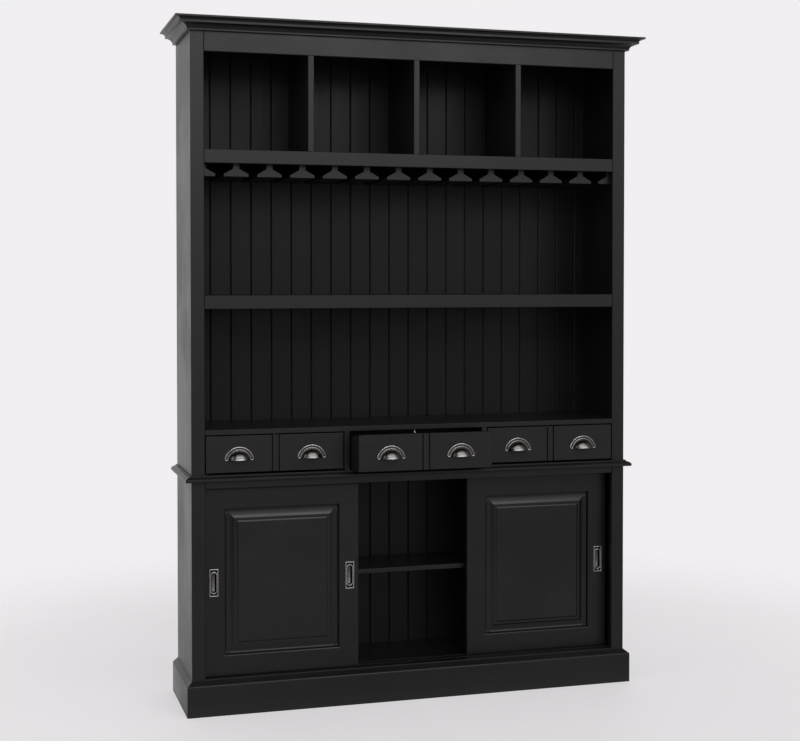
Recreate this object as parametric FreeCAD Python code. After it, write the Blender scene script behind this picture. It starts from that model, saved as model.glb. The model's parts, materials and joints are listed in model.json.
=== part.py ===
import FreeCAD, Part
import math
import os

V = FreeCAD.Vector

# Bar armoire: a base with two sliding doors carries a hutch with drawers, shelves, a hanging rack and
# a row of niches. Millimetres. X runs to the right, Y to the back and Z up from the floor. The origin is
# on the floor at mid width, in the front plane of the face frames.

# Overall sizes
body_width = 1484.0
body_depth = 320.0
overall_height = 2200.0
base_height = 762.0

# Carcass boards
side_thick = 20.0
face_thick = 20.0
stile_width = 43.0
base_rail_height = 23.0
top_rail_height = 63.0
lip_height = 43.0
shelf_thick = 20.0
base_top_thick = 20.0
bottom_thick = 18.0
hutch_top_thick = 18.0
counter_thick = 17.0
base_shelf_thick = 16.0
niche_divider_thick = 19.0
drawer_divider_thick = 18.0
housing_depth = 6.0
arris = 1.2
joint_line = 1.6
joint_line_depth = 4.0

# Shelves: the two open bays share what the niches and the drawers leave, the upper one a little taller
base_shelf_top = 420.0
base_shelf_setback = 85.0
base_shelf_play = 1.0
drawer_bay_height = 126.0
niche_height = 306.0
upper_bay_extra = 35.0

# Shelf pins
pin_radius = 3.0
pin_length = 22.0
pin_bore_depth = 10.0
pin_seat = 2.5
pin_play = 0.15
pin_from_edge = 40.0

# Plinth, waist moulding and cornice
plinth_height = 111.0
plinth_thick = 17.0
plinth_slope_height = 17.0
plinth_nose_out = 2.4
plinth_nose_height = 5.2
waist_reach = 21.0
waist_nose = 4.0
waist_quirk_out = 6.0
waist_quirk_height = 4.0
cornice_reach = 52.0
cornice_height = 41.0
cornice_lip_out = 11.0
cornice_lip_height = 5.0
cornice_bead_out = 36.0
cornice_bead_low = 20.0
cornice_bead_high = 27.0
cornice_crown_out = 46.0
cornice_crown_low = 35.0
cove_sag = 0.18
case_top_drop = 10.0

# Tongued and grooved back boards
board_pitch = 69.4
board_joint_x = -7.0
board_thick = 14.0
board_inset = 2.0
board_vee = 3.0
board_tongue = 5.0
board_tongue_thick = 4.0
board_play = 0.2
back_rebate = 10.0

# Sliding doors and their tracks
door_width = 506.0
door_thick = 22.0
door_member = 66.0
door_rail_height = 62.5
door_face_gap = 2.0
door_pass_gap = 6.0
door_floor_gap = 4.5
door_head_gap = 6.5
door_end_gap = 0.5
track_rise = 4.0
track_back_margin = 6.0
track_groove = 10.0
floor_groove_depth = 8.0
head_groove_depth = 14.0
head_tongue = 15.5
tongue_side_play = 0.5
running_gap = 0.3

# Raised door panels, as depths behind the door's face and distances in from the frame's edge
panel_groove_depth = 10.0
panel_tongue_thick = 4.5
panel_tongue_face = 14.0
panel_play = 0.1
panel_end_play = 0.5
panel_gap = 3.5
panel_lip = 1.5
panel_lip_face = 7.6
panel_lip_fall = 4.0
panel_cove_deep = 9.0
panel_cove_end = 30.5
panel_cove_face = 3.2
panel_step_start = 37.5
panel_field_start = 44.0
panel_field_face = 0.5
frame_bevel_width = 3.0
frame_bevel_depth = 1.3

# Flush pulls in the door stiles
flush_from_edge = 30.0
flush_width = 30.0
flush_height = 89.0
flush_plate = 1.8
flush_rim = 0.6
recess_width = 17.0
recess_height = 65.0
recess_depth = 9.0
recess_wall = 1.2
recess_play = 0.3

# Drawers
drawer_side_gap = 3.0
drawer_head_gap = 3.0
drawer_floor_gap = 5.5
drawer_front_thick = 18.0
drawer_lap = 8.0
drawer_side_thick = 12.0
drawer_back_thick = 12.0
drawer_side_drop = 10.0
drawer_bottom_thick = 6.0
drawer_bottom_lift = 8.0
drawer_groove_depth = 6.0
drawer_groove_play = 0.1
drawer_back_room = 16.0
front_strip = 18.0
front_groove_width = 4.0
front_groove_depth = 8.0
middle_drawer_out = 103.0
runner_width = 12.0
runner_stop_thick = 14.0
runner_stop_height = 15.0
guide_height = 38.0

# Cup pulls
cup_radius = 48.0
cup_dome_radius = 32.0
cup_stand = 23.0
cup_wall = 1.6
cup_flange = 2.0
cup_bead = 3.0
cup_bead_rise = 1.4
cup_step_radius = 41.0
cup_step_rise = 1.2
cup_lip = 1.0
cup_lip_height = 2.4
cup_chords = 4
cup_flats = 18
cup_end_round = 7.0
cup_level = 34.5

# Hanging rack
rack_rails = 12
rack_web = 20.0
rack_flange = 80.0
rack_drop = 63.0
rack_tip = 8.0
rack_shoulder = 17.0
rack_setback = 30.0
rack_back_room = 6.0

# Places worked out from the sizes above
half = body_width / 2
side_in = half - side_thick
stile_in = half - stile_width
back_face = body_depth - board_inset - board_thick
track_top = plinth_height + track_rise
base_top_under = base_height - base_top_thick
base_rail_under = base_top_under - base_rail_height
counter_under = base_height + drawer_bay_height
counter_top = counter_under + counter_thick
cornice_under = overall_height - cornice_height
top_rail_under = cornice_under - top_rail_height
case_top = overall_height - case_top_drop
niche_ceiling = case_top - hutch_top_thick
niche_shelf_top = top_rail_under - niche_height
open_height = niche_shelf_top - counter_top - 2 * lip_height
middle_shelf_top = counter_top + (open_height - upper_bay_extra) / 2 + lip_height
front_door_face = face_thick + door_face_gap
rear_door_face = front_door_face + door_thick + door_pass_gap
track_back = rear_door_face + door_thick + track_back_margin
door_bottom = track_top + door_floor_gap
door_top = base_rail_under - door_head_gap
drawer_opening = (2 * stile_in - 2 * drawer_divider_thick) / 3
drawer_pitch = drawer_opening + drawer_divider_thick
niche_width = (2 * stile_in - 3 * niche_divider_thick) / 4
niche_pitch = niche_width + niche_divider_thick
rack_pitch = 2 * stile_in / (rack_rails + 1)
touch = 0.01


def box(x, y, z):
    """Block between a pair of limits on each axis."""
    corner = V(min(x), min(y), min(z))
    return Part.makeBox(abs(x[1] - x[0]), abs(y[1] - y[0]), abs(z[1] - z[0]), corner)


def fuse(first, *others):
    """One clean solid from pieces that touch or overlap."""
    return first.multiFuse(list(others)).removeSplitter().Solids[0]


def cut(solid, *tools):
    """The solid with each tool taken out of it."""
    for tool in tools:
        solid = solid.cut(tool)
    return solid.Solids[0]


def mirrored(shape):
    """The same piece on the other side of the mid plane."""
    return shape.mirror(V(0, 0, 0), V(1, 0, 0))


def group(*solids):
    """Separate solids that share a node."""
    return Part.makeCompound(list(solids))


def face(place, points):
    """Flat face through points of a local plane; a pair of points is an arc's middle and end."""
    edges = []
    last = points[0]
    for step in points[1:] + points[:1]:
        if isinstance(step[0], tuple):
            middle, end = step
            edges.append(Part.Arc(place(*last), place(*middle), place(*end)).toShape())
        else:
            end = step
            edges.append(Part.makeLine(place(*last), place(*end)))
        last = end
    return Part.Face(Part.Wire(edges))


def tangent_arc(start, end, at_end=False):
    """Arc step from start to end that leaves start, or meets end, along the first local axis."""
    run = end[0] - start[0]
    rise = end[1] - start[1]
    radius = (run * run + rise * rise) / (2 * abs(rise))
    turn = math.asin(min(1.0, abs(run) / radius)) / 2
    along = math.copysign(radius * math.sin(turn), run)
    across = math.copysign(radius * (1 - math.cos(turn)), rise)
    if at_end:
        return ((end[0] - along, end[1] - across), end)
    return ((start[0] + along, start[1] + across), end)


def ease(solid, along, y, only_x=None):
    """Bevel the arrises that run along one axis in the plane at y, or only the one at that X."""
    picked = []
    for edge in solid.Edges:
        limits = edge.BoundBox
        in_plane = abs(limits.YMin - y) < touch and abs(limits.YMax - y) < touch
        length = {"X": limits.XLength, "Z": limits.ZLength}[along]
        wanted = only_x is None or abs(limits.XMin - only_x) < touch
        if in_plane and wanted and abs(length - edge.Length) < touch:
            picked.append(edge)
    return solid.makeChamfer(arris, picked).Solids[0]


def plan_prism(points, low, high):
    """Upright prism over a plan outline."""
    wire = Part.makePolygon([V(x, y, low) for x, y in points + points[:1]])
    return Part.Face(wire).extrude(V(0, 0, high - low))


def wrap(points, reach):
    """A moulding planted round the front and both sides, mitred at the front corners."""
    low = min(point[1] for point in points if not isinstance(point[0], tuple))
    high = max(point[1] for point in points if not isinstance(point[0], tuple))
    run = face(lambda out, up: V(-half - reach, -out, up), points).extrude(V(body_width + 2 * reach, 0, 0))
    ends = [(-half, 0), (half, 0), (half + reach, -reach), (-half - reach, -reach)]
    front = run.common(plan_prism(ends, low, high)).Solids[0]
    turn = face(lambda out, up: V(-half - out, -reach, up), points).extrude(V(0, body_depth + reach, 0))
    ends = [(-half, 0), (-half, body_depth), (-half - reach, body_depth), (-half - reach, -reach)]
    left = turn.common(plan_prism(ends, low, high)).Solids[0]
    return {"front": front, "left": left, "right": mirrored(left)}


def plinth():
    """Skirting whose top slopes down to a small round nose."""
    nose_low = plinth_height - plinth_slope_height
    nose_end = (nose_low + plinth_nose_height, plinth_thick - plinth_nose_out)
    middle, end = tangent_arc((nose_low, plinth_thick), nose_end)
    nose = (middle[::-1], end[::-1])
    points = [(0, 0), (plinth_thick, 0), (plinth_thick, nose_low), nose, (0, plinth_height)]
    return wrap(points, plinth_thick)


def waist():
    """Thumb moulding over the edge of the base top: round nose, swept top and a small quirk."""
    low = base_top_under
    nose_out = waist_reach - waist_nose
    nose_mid = waist_nose * math.sqrt(0.5)
    quirk_low = base_height - waist_quirk_height
    nose = ((nose_out + nose_mid, low + waist_nose - nose_mid), (waist_reach, low + waist_nose))
    crest_start = (waist_reach, low + 2 * waist_nose)
    crest = tangent_arc(crest_start, (waist_quirk_out, quirk_low), at_end=True)
    points = [(0, low), (nose_out, low), nose, crest_start, crest, (waist_quirk_out, base_height),
              (0, base_height)]
    return wrap(points, waist_reach)


def cornice():
    """Crown moulding: lip, cove, square bead, small cove and top fillet."""
    low = cornice_under
    lip = (cornice_lip_out, low + cornice_lip_height)
    bead_low = (cornice_bead_out, low + cornice_bead_low)
    bead_high = (cornice_bead_out, low + cornice_bead_high)
    crown = (cornice_crown_out, low + cornice_crown_low)
    cove = (bow(lip, bead_low), bead_low)
    upper = (bow(bead_high, crown), crown)
    points = [(0, low), (cornice_lip_out, low), lip, cove, bead_high, upper,
              (cornice_reach, low + cornice_crown_low), (cornice_reach, overall_height), (0, overall_height)]
    return wrap(points, cornice_reach)


def bow(start, end):
    """Middle point of a hollow arc that sags towards the body by a share of its chord."""
    run = end[0] - start[0]
    rise = end[1] - start[1]
    middle = ((start[0] + end[0]) / 2, (start[1] + end[1]) / 2)
    return (middle[0] - rise * cove_sag, middle[1] + run * cove_sag)


def housing(level, thick, back):
    """Slot in the left side that takes the end of a fixed board."""
    return box((-side_in - housing_depth, -side_in), (face_thick, back), (level - thick, level))


def pin_places():
    """Depths of the shelf pins behind the face frame."""
    return (base_shelf_setback + pin_from_edge, back_face - pin_from_edge)


def pin_axis_height():
    """Height of a pin's axis: its flat carries the shelf."""
    return base_shelf_top - base_shelf_thick - pin_seat


def shelf_pin(y):
    """Round pin with a flat on top, half in the left side and half under the shelf."""
    start = V(-side_in - pin_bore_depth, y, pin_axis_height())
    pin = Part.makeCylinder(pin_radius, pin_length, start, V(1, 0, 0))
    under = base_shelf_top - base_shelf_thick
    across = (y - pin_radius, y + pin_radius)
    flat = box((-side_in, -side_in + pin_length), across, (under, under + pin_radius))
    return cut(pin, flat)


def base_side():
    """Left side of the base with its back rebate, bottom housing and pin holes."""
    side = box((-half, -side_in), (face_thick, body_depth), (0, base_top_under))
    rebate = box((-side_in - back_rebate, -side_in), (back_face, body_depth), (0, base_top_under))
    holes = []
    for y in pin_places():
        start = V(-side_in - pin_bore_depth - pin_play, y, pin_axis_height())
        holes.append(Part.makeCylinder(pin_radius + pin_play, pin_length, start, V(1, 0, 0)))
    return cut(side, rebate, housing(track_top, bottom_thick, back_face), *holes)


def hutch_side():
    """Left side of the hutch with its back rebate, shelf housings and top rebate."""
    side = box((-half, -side_in), (face_thick, body_depth), (base_height, case_top))
    rebate = box((-side_in - back_rebate, -side_in), (back_face, body_depth), (base_height, case_top))
    crown = box((-side_in - back_rebate, -side_in), (face_thick, back_face), (niche_ceiling, case_top))
    slots = [housing(counter_top, counter_thick, back_face)]
    for level in (middle_shelf_top, niche_shelf_top):
        slots.append(housing(level, shelf_thick, back_face))
    return cut(side, rebate, crown, *slots)


def stile(low, high):
    """Left upright of a face frame."""
    return ease(box((-half, -stile_in), (0, face_thick), (low, high)), "Z", 0)


def face_rail(low, high):
    """Cross piece of a face frame, or the lip of a shelf, with an open line in front of each end joint."""
    rail = ease(box((-stile_in, stile_in), (0, face_thick), (low, high)), "X", 0)
    line = box((-stile_in, -stile_in + joint_line), (0, joint_line_depth), (low, high))
    return cut(rail, line, mirrored(line))


def housed_shelf(level):
    """Fixed shelf behind its lip, let into both sides."""
    reach = side_in + housing_depth
    return box((-reach, reach), (face_thick, back_face), (level - shelf_thick, level))


def counter():
    """Worktop over the drawers: it shows between the stiles and is let into the sides."""
    nose = box((-stile_in, stile_in), (0, face_thick), (counter_under, counter_top))
    reach = side_in + housing_depth
    deck = box((-reach, reach), (face_thick, back_face), (counter_under, counter_top))
    return ease(fuse(deck, nose), "X", 0)


def floor_track():
    """Sill of the base with two grooves, stopped at the stiles, for the doors' tongues."""
    low = track_top - bottom_thick
    sill = fuse(box((-stile_in, stile_in), (0, face_thick), (low, track_top)),
                box((-side_in, side_in), (face_thick, track_back), (low, track_top)))
    return cut(ease(sill, "X", 0), *track_grooves(track_top - floor_groove_depth, track_top))


def head_track():
    """Guide under the base top with two grooves for the doors' upper tongues."""
    guide = box((-side_in, side_in), (face_thick, track_back), (base_rail_under, base_top_under))
    return cut(guide, *track_grooves(base_rail_under, base_rail_under + head_groove_depth))


def track_grooves(low, high):
    """A groove under, or over, the middle of each door."""
    grooves = []
    for door_face in (front_door_face, rear_door_face):
        middle = door_face + door_thick / 2
        y = (middle - track_groove / 2, middle + track_groove / 2)
        grooves.append(box((-stile_in, stile_in), y, (low, high)))
    return grooves


def base_bottom():
    """Floor of the base behind the track, let into both sides."""
    reach = side_in + housing_depth
    return box((-reach, reach), (track_back, back_face), (track_top - bottom_thick, track_top))


def base_shelf():
    """Loose shelf that lies on its pins behind the doors."""
    reach = side_in - base_shelf_play
    depth = (base_shelf_setback, back_face - base_shelf_play)
    shelf = box((-reach, reach), depth, (base_shelf_top - base_shelf_thick, base_shelf_top))
    return ease(shelf, "X", base_shelf_setback)


def back_boards(low, high):
    """Upright boards with bevelled, tongued and grooved edges, ripped to fit between the rebates."""
    limit = side_in + back_rebate - board_play
    first = math.floor((-limit - board_joint_x) / board_pitch)
    last = math.ceil((limit - board_joint_x) / board_pitch)
    joints = [board_joint_x + board_pitch * i for i in range(first, last + 1)]
    boards = []
    for left, right in zip(joints, joints[1:]):
        x = (max(left, -limit), min(right, limit))
        boards.append(back_board(x, left < -limit, right > limit, (low, high)))
    return group(*boards)


def back_board(x, first, last, z):
    """One board: groove on its left edge and tongue on its right, plain where it was ripped."""
    left, right = x
    rear = back_face + board_thick
    middle = back_face + board_thick / 2
    tongue = board_tongue_thick / 2
    slot = tongue + board_play
    deep = board_tongue + board_play
    outline = [(left, rear)]
    if first:
        outline += [(left, back_face)]
    else:
        outline += [(left, middle + slot), (left + deep, middle + slot), (left + deep, middle - slot),
                    (left, middle - slot), (left, back_face + board_vee), (left + board_vee, back_face)]
    if last:
        outline += [(right, back_face)]
    else:
        outline += [(right - board_vee, back_face), (right, back_face + board_vee), (right, middle - tongue),
                    (right + board_tongue, middle - tongue), (right + board_tongue, middle + tongue),
                    (right, middle + tongue)]
    outline += [(right, rear)]
    return plan_prism(outline, *z)


def niche_dividers():
    """Uprights between the niches, flush in front and notched behind the top rail."""
    dividers = []
    for place in (-1, 0, 1):
        x = (place * niche_pitch - niche_divider_thick / 2, place * niche_pitch + niche_divider_thick / 2)
        front = box(x, (0, face_thick), (niche_shelf_top, top_rail_under))
        rear = box(x, (face_thick, back_face), (niche_shelf_top, niche_ceiling))
        dividers.append(ease(fuse(rear, front), "Z", 0))
    return group(*dividers)


def hutch_top():
    """Dust board let into the top of the sides."""
    reach = side_in + back_rebate
    return box((-reach, reach), (face_thick, back_face), (niche_ceiling, case_top))


def rack_rail(x):
    """Hanging rail with a narrow web and sloping shoulders."""
    top = niche_shelf_top - shelf_thick
    tip_top = top - rack_drop + rack_tip
    web = rack_web / 2
    wing = rack_flange / 2
    low = top - rack_drop
    shoulder = tip_top + rack_shoulder
    points = [(-web, top), (web, top), (web, shoulder), (wing, tip_top), (wing, low), (-wing, low),
              (-wing, tip_top), (-web, shoulder)]
    section = face(lambda across, up: V(x + across, rack_setback, up), points)
    return section.extrude(V(0, back_face - rack_back_room - rack_setback, 0))


def rack():
    """Rails at an even pitch, with half a rail against each side."""
    rails = [rack_rail(-stile_in + rack_pitch * (i + 1)) for i in range(rack_rails)]
    top = niche_shelf_top - shelf_thick
    depth = (rack_setback, back_face - rack_back_room)
    whole = rack_rail(-stile_in)
    inner = whole.common(box((-stile_in, 0), depth, (top - rack_drop, top)))
    packing = box((-side_in, -stile_in), depth, (top - rack_drop, top))
    end = fuse(packing, inner)
    return group(end, *rails, mirrored(end))


def drawer_dividers():
    """Uprights between the drawers."""
    left = box((-drawer_pitch / 2 - drawer_divider_thick / 2, -drawer_pitch / 2 + drawer_divider_thick / 2),
               (0, back_face), (base_height, counter_under))
    left = ease(left, "Z", 0)
    return group(left, mirrored(left))


def drawer_length():
    """Depth of a drawer from its face to its back end."""
    return back_face - drawer_back_room


def drawer_runners():
    """Strips under the drawer sides, each with a stop behind, and guides behind the stiles."""
    half_front = drawer_opening / 2 - drawer_side_gap
    low = base_height
    depth = (face_thick, back_face)
    stop = (back_face - runner_stop_thick, back_face)
    solids = []
    for place in (-1, 0, 1):
        for side in (-1, 1):
            outer = place * drawer_pitch + side * half_front
            x = (outer, outer - side * runner_width)
            strip = box(x, depth, (low, low + drawer_floor_gap - running_gap))
            solids.append(fuse(strip, box(x, stop, (low, low + runner_stop_height))))
    guide = box((-side_in, -stile_in), depth, (low, low + guide_height))
    return group(*solids, guide, mirrored(guide))


def drawer(middle, pull):
    """Pieces of one closed drawer: lapped front, two sides, back, bottom and a pair of cup pulls."""
    half_front = drawer_opening / 2 - drawer_side_gap
    low = base_height + drawer_floor_gap
    high = counter_under - drawer_head_gap
    left = middle - half_front
    right = middle + half_front
    inner = half_front - drawer_side_thick
    lap_y = drawer_front_thick - drawer_lap
    floor_low = low + drawer_bottom_lift
    floor_high = floor_low + drawer_bottom_thick
    rear = drawer_length()
    groove_z = (floor_low - drawer_groove_play, floor_high + drawer_groove_play)
    groove_x = inner + drawer_groove_depth

    front = box((left, right), (0, drawer_front_thick), (low, high))
    front = ease(ease(front, "Z", 0), "X", 0)
    tools = [box((middle - groove_x, middle + groove_x), (drawer_front_thick - drawer_groove_depth,
             drawer_front_thick), groove_z)]
    for side in (-1, 1):
        end = middle + side * half_front
        tools.append(box((end, end - side * drawer_side_thick), (lap_y, drawer_front_thick), (low, high)))
        line = middle + side * (front_strip + front_groove_width) / 2
        tools.append(box((line - front_groove_width / 2, line + front_groove_width / 2),
                         (0, front_groove_depth), (low, high)))
    front = cut(front, *tools)

    sides = []
    for side in (-1, 1):
        x = (middle + side * inner, middle + side * half_front)
        board = box(x, (lap_y, rear), (low, high - drawer_side_drop))
        slot_x = (middle + side * inner, middle + side * groove_x)
        sides.append(cut(board, box(slot_x, (lap_y, rear), groove_z)))
    back = box((middle - inner, middle + inner), (rear - drawer_back_thick, rear),
               (floor_high + drawer_groove_play, high - drawer_side_drop))
    floor_x = groove_x - drawer_groove_play
    floor_y = (drawer_front_thick - drawer_groove_depth + drawer_groove_play, rear)
    floor = box((middle - floor_x, middle + floor_x), floor_y, (floor_low, floor_high))
    pull_offset = (half_front + front_strip / 2 + front_groove_width) / 2
    pulls = [pull.translated(V(middle + side * pull_offset, 0, low + cup_level)) for side in (-1, 1)]
    return {"front": front, "sides": group(*sides), "back": back, "bottom": floor, "pulls": group(*pulls)}


def dome(foot, low, high):
    """Outline of a round dome in short chords, from its foot to its top on the axis."""
    rise = high - low
    radius = (foot ** 2 + rise ** 2) / (2 * rise)
    spread = 2 * math.atan2(rise, foot)
    points = []
    for i in range(cup_chords):
        angle = spread * (1 - i / cup_chords)
        points.append((radius * math.sin(angle), high - radius * (1 - math.cos(angle))))
    return points + [(0, high)]


def half_turned(outline):
    """Solid turned through half a circle about the Y axis, in short flats that keep the model light."""
    sections = []
    for i in range(cup_flats + 1):
        turn = math.pi * i / cup_flats
        sections.append([V(out * math.cos(turn), -stand, out * math.sin(turn)) for out, stand in outline])
    faces = [flat(sections[0]), flat(sections[-1])]
    for near, far in zip(sections, sections[1:]):
        for i in range(len(outline) - 1):
            faces.append(flat([near[i], near[i + 1], far[i + 1], far[i]]))
    return Part.makeSolid(Part.makeShell(faces))


def flat(corners):
    """Flat face through corners, of which neighbours that coincide count once."""
    ring = [corner for i, corner in enumerate(corners) if corner.distanceToPoint(corners[i - 1]) > touch]
    return Part.Face(Part.makePolygon(ring + ring[:1]))


def cup_pull():
    """Half bowl, open below and lipped along its mouth, on a stepped and beaded half-round flange."""
    bead_top = cup_flange + cup_bead_rise
    step_top = cup_flange + cup_step_rise
    bead_side = cup_bead / 3
    lip_out = cup_dome_radius + cup_lip
    rim = [(0, 0), (cup_radius, 0), (cup_radius, cup_flange), (cup_radius - bead_side, bead_top),
           (cup_radius - 2 * bead_side, bead_top), (cup_radius - cup_bead, cup_flange),
           (cup_step_radius, cup_flange), (cup_step_radius - cup_step_rise, step_top)]
    body = half_turned(rim + dome(cup_dome_radius, step_top, cup_stand))
    mouth = box((-lip_out, lip_out), (-cup_stand - cup_lip, 0), (0, cup_lip_height))
    lip = half_turned([(0, step_top)] + dome(lip_out, step_top, cup_stand + cup_lip)).common(mouth)
    hollow = half_turned([(0, 0)] + dome(cup_dome_radius - cup_wall, 0, cup_stand - cup_wall))
    ends = []
    for side in (-1, 1):
        corner = box((side * lip_out, side * cup_radius), (-bead_top, 0), (0, cup_end_round))
        centre = V(side * (lip_out + cup_radius) / 2, 0, cup_end_round)
        keep = Part.makeCylinder(cup_end_round, bead_top, centre, V(0, -1, 0))
        ends.append(corner.cut(keep))
    return cut(fuse(body, lip), hollow, *ends)


def panel_section(place, size):
    """Section across a raised panel: tongue, open groove, low lip, cove and small step at both edges."""
    tongue = panel_groove_depth - panel_end_play
    tongue_back = panel_tongue_face + panel_tongue_thick
    lip = tongue + panel_gap
    lip_end = (lip + panel_lip, panel_lip_face)
    cove_start = (lip_end[0] + panel_lip_fall, panel_cove_deep)
    cove_end = (tongue + panel_cove_end, panel_cove_face)
    step = (tongue + panel_step_start, panel_cove_face)
    field = (tongue + panel_field_start, panel_field_face)

    def far(point):
        return (size - point[0], point[1])

    near = [(0, tongue_back), (0, panel_tongue_face), (lip, panel_tongue_face), (lip, panel_lip_face),
            lip_end, cove_start, tangent_arc(cove_start, cove_end), step,
            tangent_arc(step, field, at_end=True)]
    back_again = [far(field), tangent_arc(far(field), far(step)), far(cove_end),
                  tangent_arc(far(cove_end), far(cove_start), at_end=True), far(lip_end),
                  far((lip, panel_lip_face)), far((lip, panel_tongue_face)), far((0, panel_tongue_face)),
                  far((0, tongue_back))]
    return face(place, near + back_again)


def raised_panel(x, y, z):
    """Panel that floats in the frame's groove, moulded alike on its four edges."""
    grow = panel_groove_depth - panel_end_play
    left = x[0] - grow
    low = z[0] - grow
    width = x[1] - x[0] + 2 * grow
    height = z[1] - z[0] + 2 * grow
    upright = panel_section(lambda u, d: V(left + u, y + d, low), width).extrude(V(0, 0, height))
    level = panel_section(lambda u, d: V(left, y + d, low + u), height).extrude(V(width, 0, 0))
    return upright.common(level).Solids[0]


def oblong(x, y, z, width, height):
    """Upright slot shape with round ends, between two depths."""
    r = width / 2
    straight = height / 2 - r
    points = [(-r, -straight), ((0, -height / 2), (r, -straight)), (r, straight),
              ((0, height / 2), (-r, straight))]
    return face(lambda u, v: V(x + u, y[0], z + v), points).extrude(V(0, y[1] - y[0], 0))


def flush_pull(x, y, z):
    """Plate on the door's face with a finger recess let into the stile."""
    plate = box((x - flush_width / 2, x + flush_width / 2), (y - flush_plate, y),
                (z - flush_height / 2, z + flush_height / 2))
    rim = [edge for edge in plate.Edges if edge.BoundBox.YMax < y - flush_plate + touch]
    plate = plate.makeChamfer(flush_rim, rim)
    well_width = recess_width + 2 * recess_wall
    well_height = recess_height + 2 * recess_wall
    well = oblong(x, (y, y + recess_depth + recess_wall), z, well_width, well_height)
    hollow = oblong(x, (y - flush_plate, y + recess_depth), z, recess_width, recess_height)
    return cut(fuse(plate, well), hollow)


def flush_pocket(x, y, z):
    """Room in the stile for the well of a flush pull."""
    spare = 2 * recess_wall + 2 * recess_play
    deep = recess_depth + recess_wall + recess_play
    return oblong(x, (y, y + deep), z, recess_width + spare, recess_height + spare)


def door(left, y, pull_sides):
    """Pieces of one sliding door: two stiles, two rails, a raised panel and its flush pulls."""
    right = left + door_width
    inner_x = (left + door_member, right - door_member)
    inner_z = (door_bottom + door_rail_height, door_top - door_rail_height)
    depth = (y, y + door_thick)
    middle = y + door_thick / 2
    tongue_half = track_groove / 2 - tongue_side_play
    tongue_y = (middle - tongue_half, middle + tongue_half)
    foot_low = track_top - floor_groove_depth + running_gap
    head_high = door_top + head_tongue
    groove_y = (y + panel_tongue_face - panel_play, y + panel_tongue_face + panel_tongue_thick + panel_play)
    tenon_y = (groove_y[0] + panel_play, groove_y[1] - panel_play)
    tenon = panel_groove_depth - panel_end_play
    pull_z = (door_bottom + door_top) / 2
    bevel = frame_edge_bevel(inner_x, y, inner_z)

    def member(x, z):
        block = box(x, depth, z)
        if z[0] == door_bottom:
            block = fuse(block, box(x, tongue_y, (foot_low, door_bottom)))
        if z[1] == door_top:
            block = fuse(block, box(x, tongue_y, (door_top, head_high)))
        return block

    stiles = []
    pulls = []
    for side in (-1, 1):
        outer = left if side < 0 else right
        edge = outer - side * door_member
        upright = ease(member((outer, edge), (door_bottom, door_top)), "Z", y, outer)
        groove = box((edge, edge + side * panel_groove_depth), groove_y, (door_bottom, door_top))
        upright = cut(upright, groove, bevel)
        if side in pull_sides:
            pull_x = outer - side * flush_from_edge
            upright = cut(upright, flush_pocket(pull_x, y, pull_z))
            pulls.append(flush_pull(pull_x, y, pull_z))
        stiles.append(upright)

    rails = []
    for z in ((door_bottom, inner_z[0]), (inner_z[1], door_top)):
        rail = member(inner_x, z)
        tenons = box((inner_x[0] - tenon, inner_x[1] + tenon), tenon_y, z)
        rail = fuse(rail, tenons)
        if z[0] == door_bottom:
            slot_z = (inner_z[0] - panel_groove_depth, inner_z[0])
        else:
            slot_z = (inner_z[1], inner_z[1] + panel_groove_depth)
        slot_x = (inner_x[0] - tenon, inner_x[1] + tenon)
        rails.append(cut(rail, box(slot_x, groove_y, slot_z), bevel))

    panel = raised_panel(inner_x, y, inner_z)
    return {"stiles": group(*stiles), "rails": group(*rails), "panel": panel, "pulls": group(*pulls)}


def frame_edge_bevel(x, y, z):
    """Tapered block that bevels the frame's edge all round the panel, mitred at the corners."""
    wires = []
    for depth, spread in ((0, frame_bevel_width), (frame_bevel_depth, 0)):
        corners = [(x[0] - spread, z[0] - spread), (x[1] + spread, z[0] - spread),
                   (x[1] + spread, z[1] + spread), (x[0] - spread, z[1] + spread)]
        wires.append(Part.makePolygon([V(a, y + depth, b) for a, b in corners + corners[:1]]))
    return Part.makeLoft(wires, True, True)


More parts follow.
